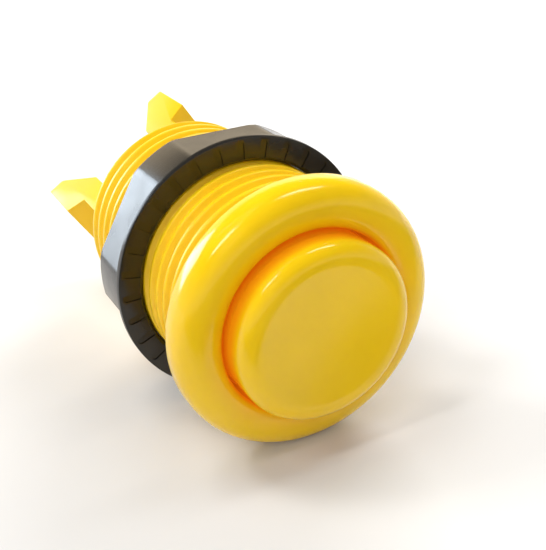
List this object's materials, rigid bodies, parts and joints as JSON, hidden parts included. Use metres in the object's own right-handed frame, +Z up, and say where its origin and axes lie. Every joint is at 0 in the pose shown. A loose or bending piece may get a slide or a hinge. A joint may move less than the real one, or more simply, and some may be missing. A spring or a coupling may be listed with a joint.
{
  "type": "long push button",
  "caption": "Long arcade-style push button: threaded barrel with a round bezel, a sprung dished plunger, a flanged hex nut with a ratchet face and rear legs for a microswitch.",
  "frame": {"origin": "on the button's axis, in the plane of the bezel's seat, where the panel's front face would be", "axes": "+Y along the barrel from the bezel to the legs, the plunger faces -Y, +Z up with the button lying on its side as in the picture"},
  "size_m": [0.034, 0.0651, 0.034],
  "materials": {
    "housing": "glossy moulded nylon, yellow",
    "plunger": "glossy moulded nylon, yellow",
    "nut": "satin moulded nylon, black",
    "return_spring": "bright spring wire"
  },
  "bodies": {
    "housing": {"housing": "housing", "return_spring": "return_spring"},
    "plunger": {"plunger": "plunger"},
    "nut": {"nut": "nut"}
  },
  "joints": [
    {"name": "plunger_press", "type": "slide", "parent": "housing", "child": "plunger", "axis": [0, 1, 0], "range_m": [0, 0.0036], "stiffness_N_per_m": 90, "springref_m": -0.005, "deforming": ["return_spring"]},
    {"name": "nut_travel", "type": "slide", "parent": "housing", "child": "nut", "axis": [0, 1, 0], "range_m": [-0.0121, 0.0121]}
  ]
}
